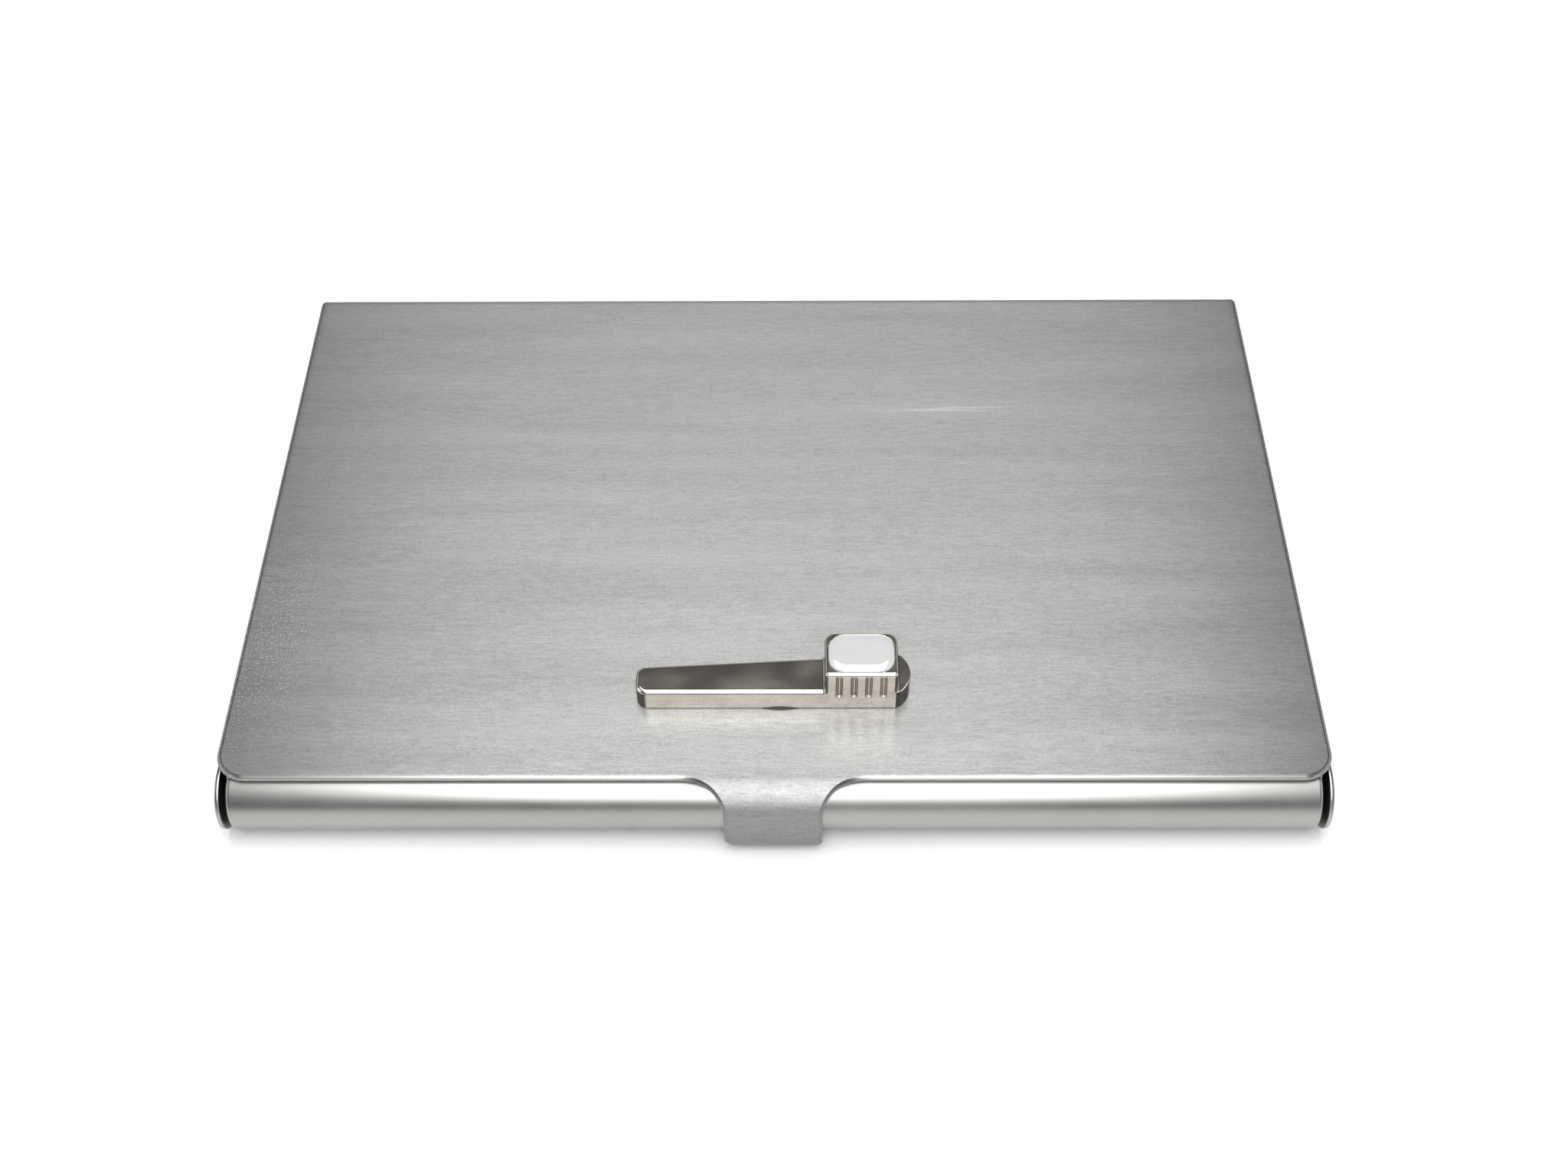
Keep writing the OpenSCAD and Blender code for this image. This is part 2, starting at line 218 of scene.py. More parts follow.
def ring_faces(base, n, count):
    """The faces between the count rings of a loop, each of n points and numbered on from base."""
    faces = []
    for near in range(base, base + (count - 1) * n, n):
        far = near + n
        faces += [[near + i, near + (i + 1) % n, far + (i + 1) % n, far + i] for i in range(n)]
    return faces


def on_sheet(points, outline, holes, margin=-1):
    """Which points lie on the flat sheet, more than margin away from its edges."""
    count, gap = crossings(points, outline)
    keep = (count % 2 == 1) & (gap > margin)
    for hole in holes:
        count, gap = crossings(points, hole)
        keep &= (count % 2 == 0) & (gap > margin)
    return keep


def folded_sheet(corners, holes, patches, bends, thick, edge, fold):
    """A closed sheet with soft edges, drawn flat and folded.

    corners is the outline and holes are (u, v, radius). patches are (us, vs) grids of extra
    points where the sheet is curved, and bends are the (u, v) lines that its sides are cut at.
    fold(u, v, depth) gives the place of a point that lies depth below the outer face.
    """
    rim, bore = rim_steps(edge, thick), rim_steps(HOLE_EDGE, thick)
    _, sides = round_loop(corners, 0)
    splits = side_splits(sides, *bends)
    loops = [[round_loop(corners, inset, splits)[0] for inset, _ in rim]]
    loops += [[ring(u, v, r + inset) for inset, _ in bore] for u, v, r in holes]

    flat, faces, rows, wires, origin = [], [], [], [], []
    for rings, steps in zip(loops, [rim] + [bore] * len(holes)):
        base, first, n = len(flat), len(rows), len(rings[0])
        flat += [(u, v, depth) for (_, depth), points in zip(steps, rings) for u, v in points]
        faces += ring_faces(base, n, len(steps))
        rows += [Vector(p) for p in rings[0]]
        wires += [(first + i, first + (i + 1) % n) for i in range(n)]
        origin += [(base + i, base + (len(steps) - 1) * n + i) for i in range(n)]

    outline, inner = loops[0][0], [rings[0] for rings in loops[1:]]
    extra = np.array([(u, v) for us, vs in patches for u in us for v in vs]).reshape(-1, 2)
    extra = np.unique(extra.round(4), axis=0)
    for u, v in extra[on_sheet(extra, outline, inner, margin=rim[0][0])]:
        rows.append(Vector((u, v)))
        origin.append((len(flat), len(flat) + 1))
        flat += [(u, v, 0), (u, v, thick)]
    verts, _, tris, source, _, _ = delaunay_2d_cdt(rows, wires, [], 0, 1e-6)
    middles = np.array([sum((verts[i] for i in t), Vector((0, 0))) / 3 for t in tris])
    for t, inside in zip(tris, on_sheet(middles, outline, inner)):
        if inside:
            ends = [origin[source[i][0]] for i in t]
            faces.append([e[0] for e in ends])
            faces.append([e[1] for e in ends][::-1])
    flat = np.array(flat, float)
    return np.stack(fold(flat[:, 0], flat[:, 1], flat[:, 2]), axis=1), faces


def lathe(profile, steps=48):
    """A closed solid turned from (radius, height) points that start and end on the axis."""
    verts, faces, n = [], [], len(profile)
    for k in range(steps):
        a = 2 * math.pi * k / steps
        verts += [(r * math.cos(a), r * math.sin(a), z) for r, z in profile]
    for k in range(steps):
        a, b = k * n, (k + 1) % steps * n
        faces += [[a + i, b + i, b + i + 1, a + i + 1] for i in range(n - 1)]
    return np.array(verts), faces


def slope(field, points, h=0.004):
    """How fast the field grows along X, Y and Z at each point."""
    steps = np.eye(3) * h
    return np.stack([(field(*(points + e).T) - field(*(points - e).T)) / (2 * h) for e in steps], axis=1)


def skin(field, low, high, step):
    """The closed surface where field(x, y, z) is 0, as points, faces and exact normals.

    The field is negative inside. Each grid cell that the surface passes through gets one point,
    which is then moved onto the surface.
    """
    axes = [np.arange(a - 1.5 * step, b + 2.5 * step, step) for a, b in zip(low, high)]
    inside = field(*np.meshgrid(*axes, indexing="ij")) < 0
    nx, ny, nz = inside.shape
    corners = sum(inside[i:nx - 1 + i, j:ny - 1 + j, k:nz - 1 + k].astype(int)
                  for i in (0, 1) for j in (0, 1) for k in (0, 1))
    mixed = (corners > 0) & (corners < 8)
    number = np.full(mixed.shape, -1)
    number[mixed] = np.arange(mixed.sum())
    cell = np.argwhere(mixed)
    points = np.stack([axes[k][cell[:, k]] + step / 2 for k in range(3)], axis=1)
    for _ in range(8):
        way = slope(field, points)
        move = -field(*points.T)[:, None] * way / np.maximum((way ** 2).sum(1), 0.2)[:, None]
        points += np.clip(move, -step / 2, step / 2)
    faces = []
    for axis in range(3):
        ahead = np.roll(inside, -1, axis)
        for leaving in (True, False):
            edge = np.argwhere((inside != ahead) & (inside == leaving))
            b, c = np.eye(3, dtype=int)[(axis + 1) % 3], np.eye(3, dtype=int)[(axis + 2) % 3]
            turn = [0 * b, -b, -b - c, -c]
            quad = [number[tuple((edge + t).T)] for t in (turn if leaving else turn[::-1])]
            faces += np.stack(quad, axis=1).tolist()
    normals = slope(field, points)
    return points, faces, normals / np.linalg.norm(normals, axis=1)[:, None]


def meet(a, b, r):
    """The overlap of two fields, with a round edge."""
    a, b = a + r, b + r
    return np.minimum(np.maximum(a, b), 0) + np.hypot(np.maximum(a, 0), np.maximum(b, 0)) - r


def blend(a, b, k):
    """The union of two fields, with a fillet about k wide."""
    near = np.maximum(k - np.abs(a - b), 0) / k
    return np.minimum(a, b) - near * near * k / 4


def cut(a, b, k):
    """Field a without field b, with an edge softened over k."""
    return -blend(-a, b, k)


def round_plan(x, y, half_x, half_y, front_r, back_r):
    """The field of a rectangle round the origin, with round corners in front and behind."""
    return meet(np.abs(x) - half_x, np.abs(y) - half_y, np.where(y < 0, front_r, back_r))


def mirror_pairs(right):
    """The whole outline from its right half, given from the front round to the back."""
    return right + [(-u, v, r) for u, v, r in reversed(right)]


def beside(lines):
    """The lines of a bend, with one more on the flat sheet on each side."""
    gap = math.copysign(SKIRT, lines[-1] - lines[0])
    return [lines[0] - gap] + lines + [lines[-1] + gap]


def past(value, start):
    """How far value lies beyond start, or nothing."""
    return np.maximum(value - start, 0)


def bend(length, radius, depth):
    """Along and across of a sheet that turns 90 degrees on an outer radius and then runs straight."""
    angle = np.minimum(length / radius, QUARTER)
    straight = past(length, radius * QUARTER)
    return (radius - depth) * np.sin(angle), radius - (radius - depth) * np.cos(angle) + straight


# ---------------------------------------------------------------------------------------------
# Materials
# ---------------------------------------------------------------------------------------------


class Paint:
    """A node material round one Principled shader."""

    def __init__(self, name):
        self.material = bpy.data.materials.new(name)
        self.material.use_nodes = True
        self.tree = self.material.node_tree
        self.shader = self.tree.nodes["Principled BSDF"]
        self.place = self.add("ShaderNodeTexCoord").outputs["Object"]

    def add(self, kind, inputs=(), **settings):
        """A node, with its settings and its inputs by index or name. A socket is linked."""
        node = self.tree.nodes.new(kind)
        for key, value in settings.items():
            setattr(node, key, value)
        for key, value in dict(inputs).items():
            if isinstance(value, bpy.types.NodeSocket):
                self.tree.links.new(value, node.inputs[key])
            else:
                node.inputs[key].default_value = value
        return node

    def math(self, operation, a, b=0.0):
        """The sum, product or other result of a and b."""
        return self.add("ShaderNodeMath", {0: a, 1: b}, operation=operation).outputs[0]

    def stretched(self, place, scale, detail=2.0, roughness=0.5):
        """Noise whose grain is stretched: scale is its number of grains per metre along X, Y and Z."""
        sized = self.add("ShaderNodeVectorMath", {0: place, 1: scale}, operation="MULTIPLY").outputs[0]
        values = {"Vector": sized, "Scale": 1.0, "Detail": detail, "Roughness": roughness}
        return self.add("ShaderNodeTexNoise", values).outputs["Fac"]

    def span(self, value, low, high, to_low, to_high):
        """value from low..high taken to to_low..to_high, and held there."""
        names = {"Value": value, "From Min": low, "From Max": high, "To Min": to_low, "To Max": to_high}
        return self.add("ShaderNodeMapRange", names).outputs["Result"]

    def mix(self, share, a, b):
        """A colour between a and b."""
        node = self.add("ShaderNodeMix", data_type="RGBA")
        for key, value in ((0, share), (6, a), (7, b)):
            if isinstance(value, bpy.types.NodeSocket):
                self.tree.links.new(value, node.inputs[key])
            else:
                node.inputs[key].default_value = value
        return node.outputs[2]

    def relief(self, height, depth):
        """Bumps of that many metres."""
        node = self.add("ShaderNodeBump", {"Height": height, "Strength": 1.0, "Distance": depth})
        self.tree.links.new(node.outputs["Normal"], self.shader.inputs["Normal"])

    def near(self, place, scale, centre, inner, outer):
        """1 within inner metres of centre, fading to 0 at outer, with the distance stretched by scale."""
        sized = self.add("ShaderNodeVectorMath", {0: place, 1: scale}, operation="MULTIPLY").outputs[0]
        middle = tuple(c * k for c, k in zip(centre, scale))
        gap = self.add("ShaderNodeVectorMath", {0: sized, 1: middle}, operation="DISTANCE").outputs["Value"]
        return self.span(gap, inner, outer, 1, 0)

    def brushed(self, amount):
        """Draws reflections out across X, which is the way that the steel is brushed."""
        along = self.add("ShaderNodeCombineXYZ", {0: 1.0, 1: 0.02}).outputs[0]
        self.set(Anisotropic=amount, Anisotropic_Rotation=0.25, Tangent=along)

    def set(self, **values):
        """Sets or links the shader's own sockets, named with underscores for spaces."""
        for key, value in values.items():
            socket = self.shader.inputs[key.replace("_", " ")]
            if isinstance(value, bpy.types.NodeSocket):
                self.tree.links.new(value, socket)
            else:
                socket.default_value = value


def painted_edge_highlight(p):
    """The mask of a painted highlight: 1 on the bevel along the lid's front edge, and 0 on the tongue and
    the rest of the lid.
    """
    place = p.add("ShaderNodeSeparateXYZ", {0: p.place}).outputs
    front = p.span(place[1], (LID_FRONT + 0.3) * MM, (LID_FRONT + 0.5) * MM, 1, 0)
    below = p.span(place[2], (TOP - 0.06) * MM, (TOP - 0.02) * MM, 1, 0)
    beside_tongue = p.span(p.math("ABSOLUTE", place[0]), 0.0065, 0.0085, 0, 1)
    return p.math("MULTIPLY", p.math("MULTIPLY", front, below), beside_tongue)


def brushed_steel():
    """The lid: brushed from side to side, with soft bands, a pale scratch, a worn corner and a painted
    highlight along the front edge.
    """
    p = Paint("lid_brushed_steel")
    sway = p.stretched(p.place, (30, 60, 60))
    sway = p.math("MULTIPLY", p.math("SUBTRACT", sway, 0.5), 0.0012)
    shift = p.add("ShaderNodeCombineXYZ", {1: sway, 2: sway}).outputs[0]
    place = p.add("ShaderNodeVectorMath", {0: p.place, 1: shift}, operation="ADD").outputs[0]
    grain = p.stretched(place, (3600, 7500, 7500), 2, 0.7)
    fine = p.stretched(place, (600, 5200, 5200), 2, 0.6)
    band = p.stretched(place, (26, 300, 300), 3, 0.6)
    streak = p.math("ADD", p.math("MULTIPLY", grain, 0.42), p.math("MULTIPLY", fine, 0.33))
    streak = p.math("ADD", streak, p.math("MULTIPLY", band, 0.25))
    scratch = p.span(p.stretched(place, (90, 4200, 4200), 0), 0.62, 0.72, 0, 1)
    patch = p.near(p.place, (0.8, 5, 1), (0.016, 0.0153, 0.007), 0.003, 0.008)
    specks = p.span(p.stretched(p.place, (6000, 6000, 6000), 0), 0.66, 0.74, 0, 1)
    corner = p.near(p.place, (1, 0.5, 1), (-0.0465, -0.014, 0.007), 0.002, 0.008)
    scratch = p.math("MULTIPLY", p.math("MULTIPLY", scratch, patch), 0.35)
    marks = p.math("MAXIMUM", scratch, p.math("MULTIPLY", specks, corner))
    tone = p.mix(p.span(streak, 0.38, 0.62, 0, 1), (0.216, 0.217, 0.213, 1), (0.318, 0.319, 0.314, 1))
    tone = p.mix(p.math("MULTIPLY", marks, 0.5), tone, (0.85, 0.85, 0.84, 1))
    # Painted highlight: a paler tone on the bevel along the lid's front edge.
    tone = p.mix(painted_edge_highlight(p), tone, (0.50, 0.50, 0.49, 1))
    p.set(Base_Color=tone, Metallic=1.0, Roughness=p.span(streak, 0.36, 0.64, 0.41, 0.35))
    p.brushed(0.86)
    p.relief(streak, 2.5e-6)
    return p.material


def satin_steel():
    """The tray: smooth satin steel with a fine grain from side to side and faint handling marks."""
    p = Paint("tray_satin_steel")
    grain = p.stretched(p.place, (500, 3000, 3000), 2, 0.6)
    drawn = p.stretched(p.place, (220, 2600, 2600), 2)
    marks = p.stretched(p.place, (70, 90, 90), 3)
    tone = p.mix(p.span(marks, 0.35, 0.65, 0, 1), (0.372, 0.366, 0.356, 1), (0.402, 0.396, 0.386, 1))
    rough = p.math("ADD", p.span(marks, 0.3, 0.7, 0.27, 0.31), p.span(drawn, 0.3, 0.7, -0.01, 0.01))
    p.set(Base_Color=tone, Metallic=1.0, Roughness=rough)
    p.brushed(0.68)
    p.relief(grain, 8e-7)
    return p.material


def rolled_steel(name, tone, roughness):
    """Bare rolled steel, for the spring and the rivets."""
    p = Paint(name)
    grain = p.stretched(p.place, (400, 1800, 1800), 2)
    tint = p.mix(grain, tuple(0.85 * c for c in tone) + (1,), tone + (1,))
    rough = p.span(grain, 0.3, 0.7, roughness - 0.05, roughness + 0.06)
    p.set(Base_Color=tint, Metallic=1.0, Roughness=rough)
    p.relief(grain, 1e-6)
    return p.material


def polished_plating():
    """The toothbrush: bright nickel plate on a casting, with slow ripples from polishing."""
    p = Paint("plated_polished_casting")
    ripple = p.stretched(p.place, (260, 420, 420), 1)
    tone = p.mix(p.span(ripple, 0.35, 0.65, 0, 1), (0.62, 0.575, 0.51, 1), (0.70, 0.655, 0.59, 1))
    p.set(Base_Color=tone, Metallic=1.0, Roughness=p.span(ripple, 0.35, 0.7, 0.09, 0.12))
    p.relief(ripple, 4e-6)
    return p.material


def white_enamel():
    """The bristles' inlay: thick glossy enamel, a little uneven."""
    p = Paint("white_glossy_enamel")
    cloud = p.stretched(p.place, (500, 500, 500), 2)
    tone = p.mix(cloud, (0.54, 0.547, 0.556, 1), (0.59, 0.597, 0.606, 1))
    p.set(Base_Color=tone, Roughness=p.span(cloud, 0.3, 0.7, 0.10, 0.16))
    p.set(Coat_Weight=1.0, Coat_Roughness=0.04)
    p.relief(cloud, 6e-6)
    return p.material


def dark_adhesive():
    """The glue: dark, dull and lumpy."""
    p = Paint("dark_adhesive")
    lumps = p.stretched(p.place, (900, 900, 900), 2)
    p.set(Base_Color=p.mix(lumps, (0.03, 0.024, 0.018, 1), (0.075, 0.06, 0.045, 1)), Roughness=0.45)
    p.relief(lumps, 2e-5)
    return p.material


# ---------------------------------------------------------------------------------------------
# The lid
# ---------------------------------------------------------------------------------------------

tongue_drop = TONGUE_BEND * QUARTER
tongue_end = LID_FRONT - tongue_drop - (TOP - TONGUE_BEND - TONGUE_TIP)
spine_start = BACK - SPINE_BEND
spine_top = spine_start + SPINE_BEND * QUARTER
spine_end = spine_top + TOP - SPINE_BEND - SPINE_FOOT
ear_bend = SPINE_HALF - BEND
EAR_R = 1.75


def lid_height(z):
    """Where a height on the spine lies on the flat sheet."""
    return spine_top + TOP - SPINE_BEND - z


def ear_reach(y):
    """Where a place along Y on an ear lies on the flat sheet."""
    return ear_bend + BEND * QUARTER + BACK - BEND - y


def fold_lid(u, v, depth):
    """Takes the flat lid to its shape: tongue down in front, spine down behind, ears forwards."""
    x, y, z = u.copy(), np.clip(v, LID_FRONT, spine_start), TOP - depth
    out, down = bend(past(-v, -LID_FRONT), TONGUE_BEND, depth)
    front = v < LID_FRONT
    y, z = np.where(front, LID_FRONT - out, y), np.where(front, TOP - down, z)
    out, down = bend(past(v, spine_start), SPINE_BEND, depth)
    back = v > spine_start
    y, z = np.where(back, spine_start + out, y), np.where(back, TOP - down, z)
    wide, inwards = bend(past(np.abs(u), ear_bend), BEND, depth)
    ear = (v > spine_top + 0.1) & (np.abs(u) > ear_bend)
    x = np.where(ear, np.sign(u) * (ear_bend + wide), x)
    y = np.where(ear, BACK - inwards, y)
    return x, y, z


def make_lid():
    """The lid's one sheet: top, tongue, spine and two ears."""
    relief = spine_top + 0.12
    spine_side = ear_bend - 0.15
    ear_end = ear_reach(PIVOT[0] - EAR_R)
    ear_foot = lid_height(PIVOT[1] - EAR_R)
    back_half = [
        (HALF_W, LID_FRONT, 2.6),
        (HALF_W, spine_top, 1.1),
        (spine_side, spine_top, 0.05),
        (spine_side, relief, 0.05),
        (ear_end, relief, 1.4),
        (ear_end, ear_foot, 1.4),
        (spine_side, ear_foot, 0.1),
        (spine_side, spine_end, 0.5),
    ]
    tip_right, tip_left = (TONGUE_HALF, tongue_end, 0.4), (-TONGUE_HALF, tongue_end, 0.9)
    root = (TONGUE_HALF, LID_FRONT, TONGUE_FILLET)
    whole = mirror_pairs([root] + back_half)
    outline = [tip_right] + whole + [tip_left]
    tongue_v = beside([LID_FRONT - tongue_drop * k / 14 for k in range(15)])
    spine_v = beside([spine_start + (spine_top - spine_start) * k / 8 for k in range(9)])
    ear_u = beside([ear_bend + BEND * QUARTER * k / 6 for k in range(7)])
    wide = np.arange(-HALF_W + 1, HALF_W - 0.5, 1.0)
    patches = [
        (np.arange(-8.5, 8.6, 0.5), tongue_v),
        (wide, spine_v),
        (ear_u, np.arange(relief, ear_foot, 0.4)),
        ([-u for u in ear_u], np.arange(relief, ear_foot, 0.4)),
    ]
    bends = (ear_u + [-u for u in ear_u], tongue_v + spine_v)
    hole = (ear_reach(PIVOT[0]), lid_height(PIVOT[1]), HINGE_HOLE_R)
    holes = [hole, (-hole[0],) + hole[1:]]
    verts, faces = folded_sheet(outline, holes, patches, bends, LID_T, LID_EDGE, fold_lid)
    add_piece("lid_sheet", verts, faces, brushed_steel(), "lid", ["lid_panel"])


# ---------------------------------------------------------------------------------------------
# The tray
# ---------------------------------------------------------------------------------------------

WALL_FLAT = HALF_W - BEND
wall_up = WALL_FLAT + BEND * QUARTER
SILL_HALF = WALL_FLAT - 0.15
LIP_W = 3.5
LIP_BACK = PIVOT[0] - 9
LIP_FRONT = LIP_BACK - 36
SLIT = 0.15
ROLL_LIP = 8.0
END_CURL = 0.5
END_FLANGE = 0.8
curl_start = ROLL_HALF - END_CURL
curl_stretch = (END_CURL * QUARTER + END_FLANGE) / END_CURL
roll_top = ROLL_Y - math.pi * ROLL_R
lip_end = roll_top - ROLL_LIP
sill_start = BACK - BEND
sill_end = sill_start + BEND * QUARTER
wall_end = PIVOT[0] + 0.35
LUG_R = 1.7
CHEEK_RISE = 0.6  # over which a wall's round foot runs out into the flat cheek
ROLL_EASE = 0.35  # radians of the roll over which its ends come to curl in
slot_y = ROLL_Y + CHEEK_RISE


def tray_height(z):
    """Where a height on a side wall lies on the flat sheet."""
    return wall_up + z - BEND


def fold_tray(u, v, depth):
    """Takes the flat tray to its shape: walls, lips, cheeks, front roll and back sill."""
    side, far = np.sign(u), np.abs(u)
    x, y, z = u.copy(), np.clip(v, ROLL_Y, sill_start), depth.copy()

    out, up = bend(past(v, sill_start), BEND, depth)
    sill = (v > sill_start) & (far <= WALL_FLAT)
    y, z = np.where(sill, sill_start + out, y), np.where(sill, up, z)

    out, up = bend(past(far, WALL_FLAT), BEND, depth)
    flatten = np.clip((slot_y - v) / CHEEK_RISE, 0, 1)
    out += (BEND - depth - out) * flatten
    up += (far - tray_height(0) - up) * flatten
    roll_side = (v < slot_y) & (far < (ROLL_HALF + tray_height(0)) / 2)
    wall = (far > WALL_FLAT) & ~roll_side
    x, y, z = np.where(wall, side * (WALL_FLAT + out), x), np.where(wall, v, y), np.where(wall, up, z)
    lip_root = tray_height(TRAY_TOP - BEND)
    rise, inwards = bend(past(far, lip_root), BEND, depth)
    lip = (far > lip_root) & (v > LIP_FRONT) & (v < LIP_BACK)
    x, z = np.where(lip, side * (HALF_W - inwards), x), np.where(lip, TRAY_TOP - BEND + rise, z)

    length = past(-v, -ROLL_Y)
    angle = np.minimum(length / ROLL_R, math.pi)
    ease = np.clip(angle / ROLL_EASE, 0, 1) * (angle < math.pi - 1e-4)
    across, sink = bend(past(far, curl_start) * curl_stretch, END_CURL, depth)
    roll_x = far + (np.minimum(far, curl_start) + across - far) * ease
    sink = depth + (sink - depth) * ease
    roll = (v < ROLL_Y) & roll_side
    radius = ROLL_R - sink
    straight = past(length, math.pi * ROLL_R)
    x = np.where(roll, side * roll_x, x)
    y = np.where(roll, ROLL_Y - radius * np.sin(angle) + straight, y)
    z = np.where(roll, ROLL_R - radius * np.cos(angle), z)
    return x, y, z


def tray_outline():
    """The right half of the flat tray's outline, from the thumb notch round to the back sill."""
    notch_half, notch_deep = 15.0, 4.5
    notch_r = (notch_half ** 2 + notch_deep ** 2) / (2 * notch_deep)
    sweep = math.asin(notch_half / notch_r)
    notch = [(notch_r * math.sin(a), lip_end + notch_deep - notch_r * (1 - math.cos(a)), 0)
             for a in (sweep * k / 12 for k in range(12))]
    wall_top = tray_height(TRAY_TOP)
    cheek = [(tray_height(ROLL_R - ROLL_R * math.cos(a)), ROLL_Y - ROLL_R * math.sin(a), 0)
             for a in (math.pi * k / 28 for k in range(29))]
    low, high = math.radians(-78), math.asin((TRAY_TOP - PIVOT[1]) / LUG_R)
    lug = [(tray_height(PIVOT[1] + LUG_R * math.sin(a)), PIVOT[0] + LUG_R * math.cos(a), 0)
           for a in (high + (low - high) * k / 14 for k in range(15))]
    lip_root = tray_height(TRAY_TOP - BEND) - 0.1
    lip_tip = tray_height(TRAY_TOP - BEND) + BEND * QUARTER + LIP_W - BEND
    return notch + [
        (notch_half, lip_end, 1.0),
        (curl_start, lip_end, 1.5),
        (curl_start, roll_top, 0.15),
        (ROLL_HALF, roll_top, 0.3),
        (ROLL_HALF, slot_y, 0.15),
        (tray_height(0), slot_y, 0.15),
    ] + cheek + [
        (wall_top, LIP_FRONT - SLIT, 0.3),
        (lip_root, LIP_FRONT - SLIT, 0.1),
        (lip_root, LIP_FRONT + SLIT, 0.1),
        (lip_tip, LIP_FRONT + SLIT, 1.6),
        (lip_tip, LIP_BACK - SLIT, 1.6),
        (lip_root, LIP_BACK - SLIT, 0.1),
        (lip_root, LIP_BACK + SLIT, 0.1),
        (wall_top, LIP_BACK + SLIT, 0.3),
    ] + lug + [
        (SILL_HALF, wall_end, 0.15),
        (SILL_HALF, sill_end, 0.5),
    ]


def make_tray():
    """The tray's one sheet: floor, walls, cheeks, lips, front roll and back sill."""
    outline = mirror_pairs(tray_outline())[:-1]
    roll_v = beside([ROLL_Y + (roll_top - ROLL_Y) * k / 32 for k in range(33)])
    sill_v = beside([sill_start + BEND * QUARTER * k / 6 for k in range(7)])
    low_bend = beside([WALL_FLAT + BEND * QUARTER * k / 6 for k in range(7)])
    top_bend = beside([tray_height(TRAY_TOP - BEND) + BEND * QUARTER * k / 6 for k in range(7)])
    curl_u = beside([curl_start + (ROLL_HALF - curl_start) * k / 14 for k in range(14)])
    both = [(1, low_bend), (-1, low_bend), (1, top_bend), (-1, top_bend), (1, curl_u), (-1, curl_u)]
    walls_v = np.append(ROLL_Y + 0.12 * np.arange(6), np.arange(ROLL_Y + 1, BACK, 1.0))
    patches = [
        (np.arange(-curl_start + 0.5, curl_start, 1.0), roll_v),
        (np.arange(-SILL_HALF + 0.6, SILL_HALF, 1.0), sill_v),
    ]
    patches += [([s * u for u in us], walls_v if us is not curl_u else roll_v) for s, us in both]
    bends = ([s * u for s, us in both for u in us], roll_v + sill_v)
    stud_y = (stud_low[1] + stud_high[1]) / 2
    bore = (tray_height(PIVOT[1]), PIVOT[0], HINGE_BORE_R)
    holes = [bore, (-bore[0],) + bore[1:]]
    holes += [(STUD_X, stud_y, STUD_HOLE_R), (-STUD_X, stud_y, STUD_HOLE_R)]
    verts, faces = folded_sheet(outline, holes, patches, bends, TRAY_T, TRAY_EDGE, fold_tray)
    add_piece("tray_sheet", verts, faces, satin_steel(), "base", ["base_tray"])


# ---------------------------------------------------------------------------------------------
# The toothbrush
# ---------------------------------------------------------------------------------------------

BRUSH_FRONT = brush_low[1]
BRUSH_HALF = brush_high[0]
BRUSH_TOP = brush_high[2]
HANDLE_W = 2.9
HEAD_W = 4.3
HANDLE_TOP = TOP + 2.2
BLOCK_X = 7.5
BLOCK_HALF = 3.1
BLOCK_DEEP = HEAD_W + 0.3
BLOCK_Y = BRUSH_FRONT + BLOCK_DEEP / 2
INLAY_MARGIN = 0.3
INLAY_DEPTH = 0.3
INLAY_R = 1.5


def inlay_plan(x, y):
    """The field of the enamel's outline."""
    half_x, half_y = BLOCK_HALF - INLAY_MARGIN, BLOCK_DEEP / 2 - INLAY_MARGIN
    return round_plan(x - BLOCK_X, y - BLOCK_Y, half_x, half_y, INLAY_R, INLAY_R)


def brush_handle(x, y, z):
    """The field of the tapered handle and its round head."""
    lean = math.atan2(HEAD_W - HANDLE_W, 2 * BRUSH_HALF)
    behind = (y - BRUSH_FRONT - HANDLE_W) * math.cos(lean) - (x + BRUSH_HALF) * math.sin(lean)
    ahead, left = BRUSH_FRONT - y, -BRUSH_HALF - x
    plan = np.where(y > BRUSH_FRONT + 1.5, meet(left, behind, 0.8), meet(left, ahead, 1.0))
    plan = np.maximum(plan, np.maximum(ahead, behind))
    head_r = 2.6
    head = np.hypot(np.maximum(x - BRUSH_HALF + head_r, 0), y - BRUSH_FRONT - HEAD_W / 2) - head_r
    edge = np.where(x < BLOCK_X, 0.36, 0.05)
    return meet(meet(plan, head, 0.25), z - HANDLE_TOP, edge)


def brush_block(x, y, z):
    """The field of the bristle block."""
    plan = round_plan(x - BLOCK_X, y - BLOCK_Y, BLOCK_HALF, BLOCK_DEEP / 2, 0.35, 0.9)
    return meet(plan, z - BRUSH_TOP, 0.28)


def brush_grooves(x, y, z):
    """The field of the four grooves between the tufts."""
    radius, low, high, pitch = 0.24, TOP + 1.84, BRUSH_TOP - 0.3, 1.25
    nearest = BLOCK_X + (np.clip(np.round((x - BLOCK_X) / pitch - 0.5), -2, 1) + 0.5) * pitch
    tube = np.hypot(np.hypot(x - nearest, y - BRUSH_FRONT), np.minimum(z - low, 0)) - radius
    return np.maximum(tube, z - high)


def brush_field(x, y, z):
    """The field of the whole casting, with its grooves and the pocket for the enamel."""
    body = blend(brush_handle(x, y, z), brush_block(x, y, z), 0.25)
    body = meet(np.maximum(body, BRUSH_FRONT - y), TOP + 0.02 - z, 0.1)
    body = cut(body, brush_grooves(x, y, z), 0.09)
    return cut(body, np.maximum(inlay_plan(x, y), BRUSH_TOP - INLAY_DEPTH - z), 0.03)


